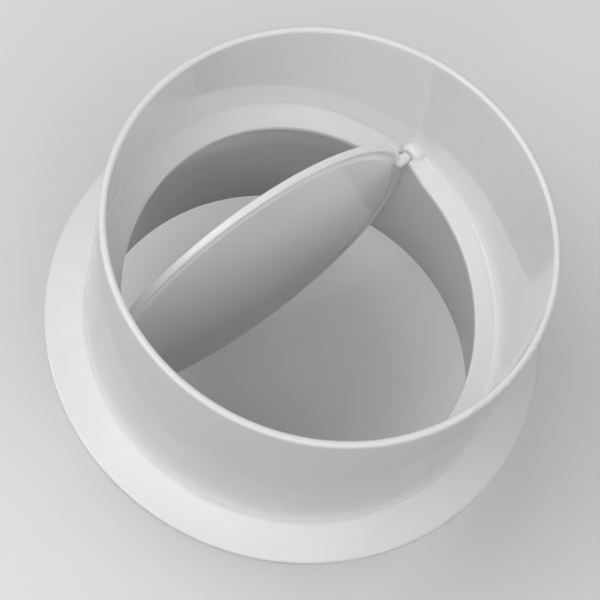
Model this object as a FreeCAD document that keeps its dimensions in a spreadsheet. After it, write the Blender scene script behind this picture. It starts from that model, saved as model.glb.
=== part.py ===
import FreeCAD
import Part
import Sketcher
import os
import re

# Round duct collar with a flange and a tilting flap that stops air from flowing back.
# Frame: origin on the duct axis at the underside of the flange, +Z along the long collar,
# X along the flap's pivot, Y across it. Sizes are in millimetres and degrees.
# The flap is drawn wide open: it hangs through the opening, just past upright.

V = FreeCAD.Vector
doc = FreeCAD.newDocument("backdraft_damper")

# Driving sizes

SIZES = [
    ("collar_radius", "75"),         # outside of both collars
    ("wall", "2.5"),                 # wall thickness of both collars
    ("long_collar_length", "75.5"),  # above the flange
    ("short_collar_length", "43"),   # below the flange's underside
    ("rim_round", "1.15"),
    ("flange_width", "14"),
    ("flange_thick", "3"),
    ("flange_edge_round", "0.9"),
    ("flange_root_round", "1"),
    ("gate_width", "3.2"),           # trimmed moulding gate on the flange's edge
    ("gate_height", "1.1"),
    ("gate_stub", "0.5"),
    ("ledge_width", "8.75"),         # from the wall to the opening, along the duct
    ("ledge_side_step", "1.05"),     # extra width beside the pivot, with a straight edge
    ("ledge_thick", "2.5"),
    ("ledge_root_round", "2"),
    ("ledge_lip_round", "0.5"),
    ("seat_tilt", "15.7"),           # slope of both ledges and of the shut flap
    ("pivot_y", "23.7"),
    ("pivot_z", "23.2"),
    ("boss_wall", "2.3"),            # plastic around the pivot hole
    ("boss_reach", "3.8"),           # from the wall to the boss's inner face
    ("boss_round", "2.2"),
    ("pin_radius", "2.1"),
    ("pin_clearance", "0.05"),       # radial running clearance of the pin in its hole
    ("pin_reach", "2.6"),            # length of pin inside the hole
    ("pin_end_gap", "0.3"),
    ("pin_root_length", "3.2"),      # length of pin moulded onto the flap's face
    ("pin_root_round", "0.9"),
    ("pin_chamfer", "0.5"),
    ("pin_side_gap", "0.5"),         # from the pin to the end of the high ledge
    ("flap_overlap", "3.45"),        # flap's radius beyond that of the opening it shuts
    ("flap_thick", "2.7"),
    ("flap_set_back", "0.24"),       # sealing face behind the pivot axis
    ("flap_seat_gap", "0.4"),        # clearance between the shut flap and either ledge
    ("flap_hang_gap", "0.5"),        # clearance of the hanging flap to the low ledge's end
    ("flap_open_tilt", "0.67"),      # how far the open flap has swung past upright
    ("flap_edge_round", "0.7"),
    ("groove_start", "1.2"),         # shallow ring groove, measured in from the flap's edge
    ("groove_middle", "2.9"),
    ("groove_end", "5.6"),
    ("groove_depth", "0.6"),
    ("groove_round", "1.5"),
]

# Sizes that follow from the driving ones

DERIVED = [
    ("slope", "tan(seat_tilt * 1deg)"),
    ("level", "cos(seat_tilt * 1deg)"),
    ("inner_radius", "collar_radius - wall"),
    ("mid_wall", "collar_radius - wall / 2"),
    ("flange_radius", "collar_radius + flange_width"),
    ("rim_top", "flange_thick + long_collar_length"),
    ("gate_low", "(flange_thick - gate_height) / 2"),
    ("seat_bore", "inner_radius - ledge_width"),
    ("seat_side", "seat_bore - ledge_side_step"),
    ("side_start", "sqrt(seat_bore * seat_bore - seat_side * seat_side)"),
    ("high_end", "pivot_y - pin_radius - pin_side_gap"),
    ("low_end", "pivot_y + flap_set_back + flap_thick + flap_hang_gap"),
    ("side_end", "(high_end + low_end) / 2"),
    ("corner_x", "sqrt(seat_bore * seat_bore - side_end * side_end)"),
    ("high_under", "pivot_z - (flap_set_back - flap_seat_gap) / level - slope * pivot_y"),
    ("high_top", "high_under + ledge_thick / level"),
    ("low_top", "pivot_z - (flap_set_back + flap_thick + flap_seat_gap) / level - slope * pivot_y"),
    ("low_under", "low_top - ledge_thick / level"),
    ("hole_radius", "pin_radius + pin_clearance"),
    ("boss_radius", "hole_radius + boss_wall"),
    ("boss_face", "sqrt(inner_radius * inner_radius - pivot_y * pivot_y) - boss_reach"),
    ("pin_end", "boss_face + pin_reach"),
    ("flap_radius", "seat_bore + flap_overlap"),
    ("flap_drop", "pivot_y / level + (flap_set_back + flap_thick / 2) * slope"),
    ("edge_at_pivot", "sqrt(flap_radius * flap_radius - flap_drop * flap_drop)"),
    ("pin_root", "edge_at_pivot - pin_root_length"),
]

sheet = doc.addObject("Spreadsheet::Sheet", "Sizes")
for row, (name, text) in enumerate(SIZES + DERIVED, start=1):
    sheet.set("A%d" % row, name)
    sheet.set("B%d" % row, text if row <= len(SIZES) else "=" + text)
    sheet.setAlias("B%d" % row, name)
    doc.recompute()
NAMES = [name for name, text in SIZES + DERIVED]


def value(expression):
    """Present value of an expression written in the sheet's names."""
    return float(sheet.evalExpression(expression))


def cell(expression):
    """The same expression as another object has to write it."""
    def full(word):
        return "Sizes." + word.group() if word.group() in NAMES else word.group()
    return re.sub("[a-z_]+", full, expression)


# Sketching

def new_body(label):
    body = doc.addObject("PartDesign::Body", label)
    body.Label = label
    return body


def origin_plane(body, role):
    for feature in body.Origin.OriginFeatures:
        if feature.Role == role:
            return feature
    raise ValueError("no origin plane " + role)


def new_sketch(body, name, role, across=None, up=None, out=None):
    """Sketch on one of the body's origin planes, moved by sheet expressions."""
    sketch = body.newObject("Sketcher::SketchObject", name)
    sketch.AttachmentSupport = [(origin_plane(body, role), "")]
    sketch.MapMode = "FlatFace"
    for axis, expression in (("x", across), ("y", up), ("z", out)):
        if expression:
            sketch.setExpression(".AttachmentOffset.Base." + axis, cell(expression))
    return sketch


def limit(sketch, constraint, expression):
    number = sketch.addConstraint(constraint)
    sketch.setExpression("Constraints[%d]" % number, cell(expression))


def hold(sketch, geometry, end, corner):
    """Tie an end point to a pair of sheet expressions measured from the sketch's origin."""
    x_now, y_now = (value(part) for part in corner)
    limit(sketch, Sketcher.Constraint("DistanceX", -1, 1, geometry, end, x_now), corner[0])
    limit(sketch, Sketcher.Constraint("DistanceY", -1, 1, geometry, end, y_now), corner[1])


def polygon(sketch, corners):
    now = [V(value(x), value(y), 0) for x, y in corners]
    lines = []
    for start, end in zip(now, now[1:] + now[:1]):
        lines.append(sketch.addGeometry(Part.LineSegment(start, end), False))
    for line, following in zip(lines, lines[1:] + lines[:1]):
        sketch.addConstraint(Sketcher.Constraint("Coincident", line, 2, following, 1))
    for line, corner in zip(lines, corners):
        hold(sketch, line, 1, corner)


def circle(sketch, radius, height="0"):
    """Full circle on the sketch's upright axis, at a height above its origin."""
    middle = V(0, value(height), 0)
    number = sketch.addGeometry(Part.Circle(middle, V(0, 0, 1), value(radius)), False)
    hold(sketch, number, 3, ("0", height))
    limit(sketch, Sketcher.Constraint("Radius", number, value(radius)), radius)


# Solid features

def add(body, kind, name, sketch=None):
    doc.recompute()
    feature = body.newObject("PartDesign::" + kind, name)
    if sketch:
        feature.Profile = sketch
        sketch.Visibility = False
    return feature


def finish(body, feature):
    doc.recompute()
    body.Tip = feature
    doc.recompute()
    if feature.Shape.isNull() or not feature.isValid():
        raise ValueError(feature.Name + " did not build")
    return feature


def revolve(body, name, sketch, axis):
    feature = add(body, "Revolution", name, sketch)
    feature.ReferenceAxis = (sketch, [axis])
    feature.Angle = 360
    return finish(body, feature)


def mirror(body, name, originals):
    feature = add(body, "Mirrored", name)
    feature.Originals = originals
    feature.MirrorPlane = (origin_plane(body, "YZ_Plane"), [""])
    return finish(body, feature)


def edges_on(shape, test):
    """Names of the edges whose every sampled point passes the test."""
    names = []
    for number, edge in enumerate(shape.Edges, start=1):
        points = edge.discretize(7)
        if all(test(point) for point in points):
            names.append("Edge%d" % number)
    return names


def fillet(body, name, radius, test):
    base = body.Tip
    names = edges_on(base.Shape, test)
    if not names:
        raise ValueError(name + " found no edge")
    feature = add(body, "Fillet", name)
    feature.Base = (base, names)
    feature.setExpression("Radius", cell(radius))
    return finish(body, feature)


def near(a, b):
    return abs(a - b) < 0.01


def from_axis(point):
    return (point.x ** 2 + point.y ** 2) ** 0.5


def trim_outside(body):
    """Cut the body round where it ends inside the collar's wall."""
    outline = new_sketch(body, body.Name + "_outline", "XY_Plane", out="flange_radius")
    circle(outline, "mid_wall")
    circle(outline, "2 * flange_radius")
    trim = add(body, "Pocket", body.Name + "_trim", outline)
    trim.setExpression("Length", cell("2 * flange_radius"))
    finish(body, trim)


def join(body, name, other):
    """Fuse another body into this one."""
    feature = add(body, "Boolean", name)
    feature.setObjects([other])
    feature.Type = "Fuse"
    return finish(body, feature)


# Pivot bosses, cut round in the middle of the wall

bosses = new_body("bosses")
boss_sketch = new_sketch(bosses, "boss_section", "XY_Plane", up="pivot_y", out="pivot_z")
polygon(boss_sketch, [
    ("boss_face", "0"),
    ("boss_face", "boss_radius"),
    ("collar_radius", "boss_radius"),
    ("collar_radius", "0"),
])
boss = revolve(bosses, "boss", boss_sketch, "H_Axis")
mirror(bosses, "other_boss", [boss])


def boss_edge(point):
    from_pivot = ((point.y - value("pivot_y")) ** 2 + (point.z - value("pivot_z")) ** 2) ** 0.5
    return near(abs(point.x), value("boss_face")) and near(from_pivot, value("boss_radius"))


fillet(bosses, "boss_rounding", "boss_round", boss_edge)
trim_outside(bosses)

# The two sloping ledges, one above and one below the shut flap

ledges = new_body("ledges")

LEDGES = [
    ("high_ledge", "-flange_radius", "high_end", "high_under", "high_top"),
    ("low_ledge", "low_end", "flange_radius", "low_under", "low_top"),
]
for name, start, end, under, top in LEDGES:
    section = new_sketch(ledges, name + "_section", "YZ_Plane")
    polygon(section, [
        (start, under + " + slope * (" + start + ")"),
        (end, under + " + slope * (" + end + ")"),
        (end, top + " + slope * (" + end + ")"),
        (start, top + " + slope * (" + start + ")"),
    ])
    slab = add(ledges, "Pad", name, section)
    slab.SideType = "Symmetric"
    slab.setExpression("Length", cell("2 * flange_radius"))
    finish(ledges, slab)

trim_outside(ledges)

# Opening through the ledges, with straight sides at the pivot

opening = new_sketch(ledges, "ledge_opening", "XY_Plane", out="flange_radius")
right_low = V(value("seat_side"), value("side_start"), 0)
right_high = V(value("seat_side"), value("side_end"), 0)
inner_right = V(value("corner_x"), value("side_end"), 0)
bottom = V(0, -value("seat_bore"), 0)
top = V(0, value("seat_bore"), 0)


def flipped(point):
    return V(-point.x, point.y, 0)


outline_parts = [
    Part.Arc(flipped(right_low), bottom, right_low),
    Part.LineSegment(right_low, right_high),
    Part.LineSegment(right_high, inner_right),
    Part.Arc(inner_right, top, flipped(inner_right)),
    Part.LineSegment(flipped(inner_right), flipped(right_high)),
    Part.LineSegment(flipped(right_high), flipped(right_low)),
]
numbers = [opening.addGeometry(piece, False) for piece in outline_parts]
for number, following in zip(numbers, numbers[1:] + numbers[:1]):
    opening.addConstraint(Sketcher.Constraint("Coincident", number, 2, following, 1))
for arc in (numbers[0], numbers[3]):
    opening.addConstraint(Sketcher.Constraint("Coincident", arc, 3, -1, 1))
limit(opening, Sketcher.Constraint("Radius", numbers[0], value("seat_bore")), "seat_bore")
limit(opening, Sketcher.Constraint("Radius", numbers[3], value("seat_bore")), "seat_bore")
for number in (numbers[1], numbers[5]):
    opening.addConstraint(Sketcher.Constraint("Vertical", number))
for number in (numbers[2], numbers[4]):
    opening.addConstraint(Sketcher.Constraint("Horizontal", number))
side = Sketcher.Constraint("DistanceX", -1, 1, numbers[1], 1, value("seat_side"))
limit(opening, side, "seat_side")
other_side = Sketcher.Constraint("DistanceX", numbers[5], 1, -1, 1, value("seat_side"))
limit(opening, other_side, "seat_side")
level_right = Sketcher.Constraint("DistanceY", -1, 1, numbers[1], 2, value("side_end"))
limit(opening, level_right, "side_end")
level_left = Sketcher.Constraint("DistanceY", -1, 1, numbers[5], 1, value("side_end"))
limit(opening, level_left, "side_end")
cut = add(ledges, "Pocket", "ledge_bore", opening)
cut.setExpression("Length", cell("2 * flange_radius"))
finish(ledges, cut)

# Housing: collars, flange and ledges

housing = new_body("housing")
wall_sketch = new_sketch(housing, "collar_section", "XZ_Plane")
polygon(wall_sketch, [
    ("collar_radius - wall", "-short_collar_length"),
    ("collar_radius", "-short_collar_length"),
    ("collar_radius", "rim_top"),
    ("collar_radius - wall", "rim_top"),
])
revolve(housing, "collars", wall_sketch, "V_Axis")

flange_sketch = new_sketch(housing, "flange_section", "XZ_Plane")
polygon(flange_sketch, [
    ("mid_wall", "0"),
    ("flange_radius", "0"),
    ("flange_radius", "flange_thick"),
    ("mid_wall", "flange_thick"),
])
revolve(housing, "flange", flange_sketch, "V_Axis")
join(housing, "with_ledges", ledges)

# Housing: rounding of the ledges

def ledge_height(name, point):
    return value(name) + value("slope") * point.y


def ledge_corner(point):
    return near(from_axis(point), value("inner_radius")) and near(point.z, ledge_height("high_top", point))


def ledge_lip(point):
    on_top = near(point.z, ledge_height("high_top", point))
    on_low_top = near(point.z, ledge_height("low_top", point)) and point.y > value("pivot_y")
    on_side = near(abs(point.x), value("seat_side"))
    return (on_top or on_low_top) and (on_side or near(from_axis(point), value("seat_bore")))


fillet(housing, "ledge_fillet", "ledge_root_round", ledge_corner)
fillet(housing, "ledge_lip_rounding", "ledge_lip_round", ledge_lip)

# Housing: bosses with blind pivot holes

join(housing, "with_bosses", bosses)
hole_sketch = new_sketch(housing, "hole_section", "XY_Plane", up="pivot_y", out="pivot_z")
polygon(hole_sketch, [
    ("boss_face - boss_round", "0"),
    ("boss_face - boss_round", "hole_radius"),
    ("pin_end + pin_end_gap", "hole_radius"),
    ("pin_end + pin_end_gap", "0"),
])
volume_before = housing.Shape.Volume
hole = add(housing, "Groove", "pivot_hole", hole_sketch)
hole.ReferenceAxis = (hole_sketch, ["H_Axis"])
hole.Angle = 360
finish(housing, hole)
mirror(housing, "other_pivot_hole", [hole])
if housing.Shape.Volume >= volume_before:
    raise ValueError("the pivot holes cut nothing")

# Housing: rounding of rims and flange

rim_inside = value("inner_radius")
rim_outside = value("collar_radius")
rim_heights = (value("rim_top"), -value("short_collar_length"))


def rim_edge(point):
    on_rim = near(point.z, rim_heights[0]) or near(point.z, rim_heights[1])
    on_wall = near(from_axis(point), rim_inside) or near(from_axis(point), rim_outside)
    return on_rim and on_wall


def flange_edge(point):
    on_side = near(point.z, 0) or near(point.z, value("flange_thick"))
    return on_side and near(from_axis(point), value("flange_radius"))


def flange_root(point):
    return near(point.z, value("flange_thick")) and near(from_axis(point), rim_outside)


fillet(housing, "rim_rounding", "rim_round", rim_edge)
fillet(housing, "flange_rounding", "flange_edge_round", flange_edge)
fillet(housing, "flange_root_fillet", "flange_root_round", flange_root)

# Housing: stub left by the moulding gate

gate_sketch = new_sketch(housing, "gate_outline", "XY_Plane", out="gate_low")
polygon(gate_sketch, [
    ("-gate_width / 2", "-flange_radius - gate_stub"),
    ("gate_width / 2", "-flange_radius - gate_stub"),
    ("gate_width / 2", "-collar_radius - flange_width / 2"),
    ("-gate_width / 2", "-collar_radius - flange_width / 2"),
])
gate = add(housing, "Pad", "gate_stub", gate_sketch)
gate.setExpression("Length", cell("gate_height"))
finish(housing, gate)

# Flap, drawn upright about the pivot axis: round plate with a shallow ring groove in its sealing face

flap = new_body("flap")

plate_sketch = new_sketch(flap, "plate_section", "YZ_Plane", up="-flap_drop")
polygon(plate_sketch, [
    ("flap_set_back + flap_thick", "0"),
    ("flap_set_back + flap_thick", "flap_radius"),
    ("flap_set_back", "flap_radius"),
    ("flap_set_back", "flap_radius - groove_start"),
    ("flap_set_back + groove_depth", "flap_radius - groove_middle"),
    ("flap_set_back", "flap_radius - groove_end"),
    ("flap_set_back", "0"),
])
revolve(flap, "plate", plate_sketch, "H_Axis")


def from_flap_middle(point):
    return (point.x ** 2 + (point.z + value("flap_drop")) ** 2) ** 0.5


def plate_edge(point):
    return near(from_flap_middle(point), value("flap_radius"))


def groove_edge(point):
    inwards = value("flap_radius") - from_flap_middle(point)
    return any(near(inwards, value(name)) for name in ("groove_start", "groove_middle", "groove_end"))


fillet(flap, "plate_rounding", "flap_edge_round", plate_edge)
fillet(flap, "groove_rounding", "groove_round", groove_edge)

# Flap: pins moulded onto the rim

pin_sketch = new_sketch(flap, "pin_section", "XY_Plane")
polygon(pin_sketch, [
    ("pin_root", "0"),
    ("pin_root", "pin_radius - pin_root_round"),
    ("pin_root + pin_root_round", "pin_radius"),
    ("pin_end - pin_chamfer", "pin_radius"),
    ("pin_end", "pin_radius - pin_chamfer"),
    ("pin_end", "0"),
])
pin = revolve(flap, "pin", pin_sketch, "H_Axis")
mirror(flap, "other_pin", [pin])

# Flap: hung on the pivot

flap.Placement = FreeCAD.Placement(V(0, 0, 0), FreeCAD.Rotation(V(1, 0, 0), 1))
flap.setExpression("Placement.Base.y", cell("pivot_y"))
flap.setExpression("Placement.Base.z", cell("pivot_z"))
flap.setExpression("Placement.Rotation.Angle", cell("flap_open_tilt * 1deg"))

# Check and write

doc.recompute()
for thing in doc.Objects:
    state = [word for word in thing.State if word in ("Invalid", "Error")]
    if state:
        raise ValueError(thing.Name + " is " + ", ".join(state))

os.makedirs("parts", exist_ok=True)
for body in (housing, flap):
    shape = body.Shape
    if shape.isNull() or not shape.isValid() or len(shape.Solids) != 1:
        raise ValueError(body.Label + " is not one valid solid")
    box = shape.BoundBox
    print(body.Label, round(shape.Volume / 1000, 2), "cm3", [round(n, 2) for n in (
        box.XMin, box.XMax, box.YMin, box.YMax, box.ZMin, box.ZMax)])
    shape.exportStep("parts/" + body.Label + ".step")
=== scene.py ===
import math
import bpy
from mathutils import Euler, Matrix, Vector


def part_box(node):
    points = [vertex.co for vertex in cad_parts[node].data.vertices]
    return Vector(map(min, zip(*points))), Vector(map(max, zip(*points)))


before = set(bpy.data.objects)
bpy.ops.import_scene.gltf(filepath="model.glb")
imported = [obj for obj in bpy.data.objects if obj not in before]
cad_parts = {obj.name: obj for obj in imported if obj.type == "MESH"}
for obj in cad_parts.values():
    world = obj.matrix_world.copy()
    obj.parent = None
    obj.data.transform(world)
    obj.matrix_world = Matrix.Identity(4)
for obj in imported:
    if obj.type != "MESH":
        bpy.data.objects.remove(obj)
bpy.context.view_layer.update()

housing_low, housing_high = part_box("housing")
flap_low, flap_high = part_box("flap")

MM = 0.001

# Camera, fitted to the photograph's ellipses; metres, degrees and, for the lens, its usual millimetres

CAMERA_PLACE = (-0.2408, -0.1559, 0.6096)
CAMERA_TURN = (24.32, -9.19, -37.31)
CAMERA_LENS = 113.5
cam_data = bpy.data.cameras.new("camera")
cam_data.lens = CAMERA_LENS
cam_data.clip_start = 0.01
camera = bpy.data.objects.new("camera", cam_data)
camera.location = CAMERA_PLACE
camera.rotation_euler = Euler([math.radians(angle) for angle in CAMERA_TURN], "XYZ")
bpy.context.scene.collection.objects.link(camera)
bpy.context.scene.camera = camera

# Node helpers


class Tree:
    """A material's node tree, with one short method for each kind of step."""

    def __init__(self, name):
        self.material = bpy.data.materials.new(name)
        self.material.use_nodes = True
        self.nodes = self.material.node_tree.nodes
        self.nodes.clear()
        self.place = self.add("ShaderNodeTexCoord").outputs["Object"]

    def add(self, kind, **settings):
        made = self.nodes.new(kind)
        for key, value in settings.items():
            setattr(made, key, value)
        return made

    def join(self, source, socket):
        """Link a socket to another, or set it to a number."""
        if isinstance(source, bpy.types.NodeSocket):
            self.material.node_tree.links.new(source, socket)
        else:
            socket.default_value = source

    def math(self, operation, first, second=0.0, clamp=False):
        made = self.add("ShaderNodeMath", operation=operation, use_clamp=clamp)
        self.join(first, made.inputs[0])
        self.join(second, made.inputs[1])
        return made.outputs[0]

    def noise(self, size, detail=2.0, place=None):
        """Noise whose blotches are about the given size in metres."""
        made = self.add("ShaderNodeTexNoise")
        self.join(place or self.place, made.inputs["Vector"])
        made.inputs["Scale"].default_value = 1 / size
        made.inputs["Detail"].default_value = detail
        return made.outputs[0]

    def stretched(self, scale, turn):
        """The surface's place, drawn out along one axis and turned about Z."""
        made = self.add("ShaderNodeMapping")
        self.join(self.place, made.inputs["Vector"])
        made.inputs["Scale"].default_value = scale
        made.inputs["Rotation"].default_value = (0, 0, turn)
        return made.outputs[0]

    def band(self, value, low, high, start=0.0, end=1.0):
        """Smooth step of a value from one level to another."""
        made = self.add("ShaderNodeMapRange", interpolation_type="SMOOTHSTEP")
        self.join(value, made.inputs["Value"])
        for socket, number in zip(("From Min", "From Max", "To Min", "To Max"), (low, high, start, end)):
            made.inputs[socket].default_value = number
        return made.outputs[0]

    def bump(self, height, strength, distance, normal=None):
        made = self.add("ShaderNodeBump")
        made.inputs["Strength"].default_value = strength
        made.inputs["Distance"].default_value = distance
        self.join(height, made.inputs["Height"])
        if normal:
            self.join(normal, made.inputs["Normal"])
        return made.outputs[0]

    def grey(self, tone):
        """Neutral colour of the given tone."""
        made = self.add("ShaderNodeCombineColor")
        for channel in ("Red", "Green", "Blue"):
            self.join(tone, made.inputs[channel])
        return made.outputs[0]

    def axes(self):
        made = self.add("ShaderNodeSeparateXYZ")
        self.join(self.place, made.inputs[0])
        return made.outputs

    def distance(self, *parts):
        """Distance of the shaded point from an axis, from its two coordinates across that axis."""
        squares = [self.math("MULTIPLY", part, part) for part in parts]
        return self.math("SQRT", self.math("ADD", *squares))

    def finish(self, shader):
        self.join(shader, self.add("ShaderNodeOutputMaterial").inputs["Surface"])
        return self.material


# White plastic: tone and gloss

WHITE = 0.93                     # base tone of the moulded plastic
CLOUD_SIZE = 45 * MM             # faint clouding of the tone
CLOUD_DARK, CLOUD_LIGHT = -0.012, 0.008
SPECK_SIZE = 1.1 * MM            # rare darker specks
SPECK_DARK = -0.05
GLOSS = 0.035                    # roughness where it is clean and unworn
GLOSS_SPREAD = 0.02
GLOSS_SIZE = 18 * MM
REFRACTION = 1.55
SCATTER = 3 * MM                 # how far light spreads inside the plastic

# White plastic: relief, scuffs and wear

WAVE_SIZE, WAVE_HEIGHT = 12 * MM, 0.03 * MM
GRAIN_SIZE, GRAIN_HEIGHT = 0.9 * MM, 0.004 * MM
SCUFF_DEPTH = 0.004 * MM
SCUFF_ROUGHNESS = 0.10
HANDLED_SIZE = 28 * MM           # areas where the scuffs show
WORN_SIZE = 4 * MM               # patches of wear along the edges
WORN_DARK = 0.015
WORN_ROUGHNESS = 0.10
NICK_SIZE, NICK_HEIGHT = 0.6 * MM, 0.01 * MM


def hairline_scuffs(tree):
    """Mask of fine scratches in two directions, only where the piece has been handled."""
    one_way = tree.noise(0.5 * MM, 1.0, tree.stretched((1.0, 0.035, 0.3), turn=0.5))
    other_way = tree.noise(0.6 * MM, 1.0, tree.stretched((0.03, 1.0, 0.5), turn=-0.3))
    scuffs = tree.math("ADD", tree.band(one_way, 0.66, 0.74), tree.band(other_way, 0.67, 0.75), clamp=True)
    return tree.math("MULTIPLY", scuffs, tree.band(tree.noise(HANDLED_SIZE), 0.45, 0.7))


def plastic_tone(tree, worn):
    clouding = tree.band(tree.noise(CLOUD_SIZE, 3.0), 0.3, 0.7, CLOUD_DARK, CLOUD_LIGHT)
    specks = tree.band(tree.noise(SPECK_SIZE, 1.0), 0.73, 0.79, 0.0, SPECK_DARK)
    tone = tree.math("ADD", tree.math("ADD", clouding, specks), WHITE)
    return tree.math("SUBTRACT", tone, tree.math("MULTIPLY", worn, WORN_DARK), clamp=True)


def plastic_roughness(tree, worn, rubbed):
    clean = tree.band(tree.noise(GLOSS_SIZE, 3.0), 0.3, 0.7, GLOSS, GLOSS + GLOSS_SPREAD)
    scuffed = tree.math("ADD", clean, tree.math("MULTIPLY", rubbed, SCUFF_ROUGHNESS))
    return tree.math("ADD", scuffed, tree.math("MULTIPLY", worn, WORN_ROUGHNESS), clamp=True)


def plastic_relief(tree, worn, rubbed, step):
    """Waves and grain of the moulded skin, with its scuffs and its nicked edges."""
    relief = tree.bump(tree.noise(WAVE_SIZE, 1.0), 0.2, WAVE_HEIGHT)
    if step:
        relief = tree.bump(step(tree), 1.0, 1.0, relief)
    relief = tree.bump(tree.noise(GRAIN_SIZE), 0.08, GRAIN_HEIGHT, relief)
    relief = tree.bump(rubbed, 0.10, -SCUFF_DEPTH, relief)
    return tree.bump(tree.math("MULTIPLY", worn, tree.noise(NICK_SIZE)), 0.15, NICK_HEIGHT, relief)


def white_plastic(name, edges, step=None):
    """Glossy white moulded plastic: faint clouding, a slightly wavy skin, hairline scuffs, worn edges.

    edges returns, from the tree, a mask that is 1 on the edges that hands and ducts rub.
    step, where given, returns the height in metres of a crisp step moulded into the face.
    """
    tree = Tree(name)
    worn = tree.math("MULTIPLY", edges(tree), tree.band(tree.noise(WORN_SIZE, 3.0), 0.38, 0.62), clamp=True)
    rubbed = hairline_scuffs(tree)
    shader = tree.add("ShaderNodeBsdfPrincipled")
    tree.join(tree.grey(plastic_tone(tree, worn)), shader.inputs["Base Color"])
    tree.join(plastic_roughness(tree, worn, rubbed), shader.inputs["Roughness"])
    tree.join(plastic_relief(tree, worn, rubbed, step), shader.inputs["Normal"])
    shader.inputs["IOR"].default_value = REFRACTION
    shader.inputs["Subsurface Weight"].default_value = 1.0
    shader.inputs["Subsurface Radius"].default_value = (1.0, 1.0, 1.0)
    shader.inputs["Subsurface Scale"].default_value = SCATTER
    return tree.finish(shader.outputs[0])


# Where each moulding is worn, and the flap's ring groove

WEAR_END = 0.1 * MM              # wear is full this near to an edge's outermost line
HOUSING_WEAR = 0.9 * MM          # and fades out this far from it
FLAP_WEAR = 0.8 * MM
FLANGE_RADIUS = housing_high.x
FLAP_RADIUS = (flap_high.z - flap_low.z) / 2
FLAP_MIDDLE = (flap_high + flap_low) / 2
GROOVE_FOOT = 4.0 * MM           # the groove's inner side, measured in from the flap's edge
GROOVE_CREST = 5.5 * MM
GROOVE_RISE = 0.4 * MM


def housing_edges(tree):
    """The two rims and the flange's edge."""
    x, y, z = tree.axes()
    top_rim = tree.band(z, housing_high.z - HOUSING_WEAR, housing_high.z - WEAR_END)
    low_rim = tree.band(z, housing_low.z + HOUSING_WEAR, housing_low.z + WEAR_END)
    flange_edge = tree.band(tree.distance(x, y), FLANGE_RADIUS - HOUSING_WEAR, FLANGE_RADIUS - WEAR_END)
    return tree.math("MAXIMUM", tree.math("MAXIMUM", top_rim, low_rim), flange_edge)


def from_flap_middle(tree, across, height):
    return tree.distance(across, tree.math("SUBTRACT", height, FLAP_MIDDLE.z))


def flap_edges(tree):
    """The flap's round edge, outside the two pins."""
    x, y, z = tree.axes()
    return tree.band(from_flap_middle(tree, x, z), FLAP_RADIUS - FLAP_WEAR, FLAP_RADIUS - WEAR_END)


def groove_step(tree):
    """Crest of the ring groove's inner side, on the face towards -Y only."""
    x, y, z = tree.axes()
    outward = from_flap_middle(tree, x, z)
    rise = tree.band(outward, FLAP_RADIUS - GROOVE_CREST, FLAP_RADIUS - GROOVE_FOOT, GROOVE_RISE, 0.0)
    front = tree.math("LESS_THAN", y, FLAP_MIDDLE.y)
    return tree.math("MULTIPLY", rise, front)


SKINS = {
    "housing": white_plastic("white_gloss_housing", housing_edges),
    "flap": white_plastic("white_gloss_flap", flap_edges, groove_step),
}
for node_name, skin in SKINS.items():
    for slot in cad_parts[node_name].material_slots:
        slot.material = skin

# Floor, pale as it is seen and mirrored; only the light that it throws back on the object is kept low

FLOOR_GAP = 9 * MM
FLOOR_HALF = 6.0
PALE = 0.90
PALE_SPREAD = 0.01
PALE_CLOUD = 0.12
FLOOR_GRAIN = 2 * MM
BOUNCE = 0.03


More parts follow.
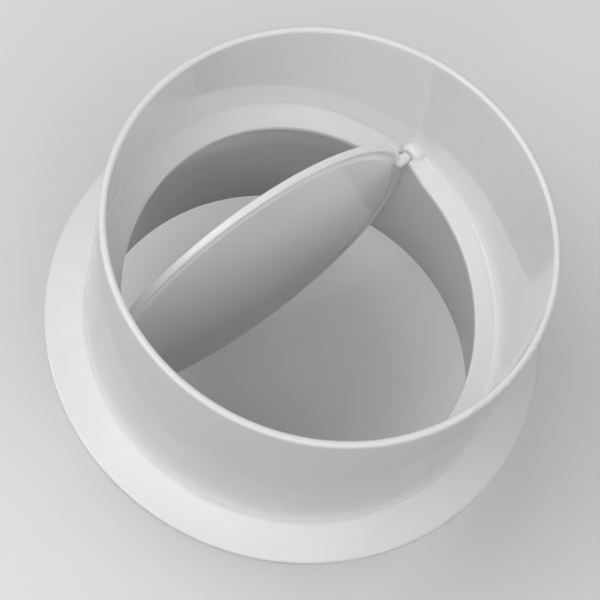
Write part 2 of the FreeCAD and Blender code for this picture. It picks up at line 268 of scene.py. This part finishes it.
def floor_material():
    tree = Tree("pale_floor")
    path = tree.add("ShaderNodeLightPath")
    straight = tree.math("MAXIMUM", path.outputs["Is Camera Ray"], path.outputs["Is Glossy Ray"])
    straight = tree.math("MAXIMUM", straight, path.outputs["Is Transmission Ray"])
    shade = tree.band(tree.noise(PALE_CLOUD, 3.0), 0.3, 0.7, PALE - PALE_SPREAD, PALE + PALE_SPREAD)
    seen = tree.add("ShaderNodeBsdfDiffuse")
    tree.join(tree.grey(shade), seen.inputs["Color"])
    tree.join(tree.bump(tree.noise(FLOOR_GRAIN, 3.0), 0.1, 0.1 * MM), seen.inputs["Normal"])
    unseen = tree.add("ShaderNodeBsdfDiffuse")
    unseen.inputs["Color"].default_value = (BOUNCE, BOUNCE, BOUNCE, 1)
    mix = tree.add("ShaderNodeMixShader")
    tree.join(straight, mix.inputs["Fac"])
    tree.join(unseen.outputs[0], mix.inputs[1])
    tree.join(seen.outputs[0], mix.inputs[2])
    return tree.finish(mix.outputs[0])


floor_z = min(housing_low.z, flap_low.z) - FLOOR_GAP
corners = [(-1, -1), (1, -1), (1, 1), (-1, 1)]
mesh = bpy.data.meshes.new("floor")
mesh.from_pydata([(FLOOR_HALF * x, FLOOR_HALF * y, floor_z) for x, y in corners], [], [(0, 1, 2, 3)])
mesh.materials.append(floor_material())
floor = bpy.data.objects.new("floor", mesh)
bpy.context.scene.collection.objects.link(floor)

# Light: four softboxes round the object and an even white sky

LAMP_DISTANCE = 1.8
LAMP_SIZE = 1.4
LAMP_RISE = 50
LAMPS = [("left_key", 240, 12.0), ("front_left", 300, 7.6), ("front_right", 0, 5.2), ("back", 180, 2.6)]
SKY = 0.27


def softbox(name, azimuth, power):
    """Square soft light aimed at the origin; azimuth from -Y towards +X, in degrees."""
    light = bpy.data.lights.new(name, "AREA")
    light.shape = "SQUARE"
    light.size = LAMP_SIZE
    light.energy = power
    turn, rise = math.radians(azimuth), math.radians(LAMP_RISE)
    towards = Vector((math.cos(rise) * math.sin(turn), -math.cos(rise) * math.cos(turn), math.sin(rise)))
    made = bpy.data.objects.new(name, light)
    made.location = towards * LAMP_DISTANCE
    made.rotation_euler = (-towards).to_track_quat("-Z", "Y").to_euler()
    bpy.context.scene.collection.objects.link(made)


for lamp in LAMPS:
    softbox(*lamp)
world = bpy.data.worlds.new("studio")
world.use_nodes = True
background = world.node_tree.nodes["Background"]
background.inputs["Color"].default_value = (1, 1, 1, 1)
background.inputs["Strength"].default_value = SKY
bpy.context.scene.world = world
bpy.context.scene.view_settings.view_transform = "Standard"
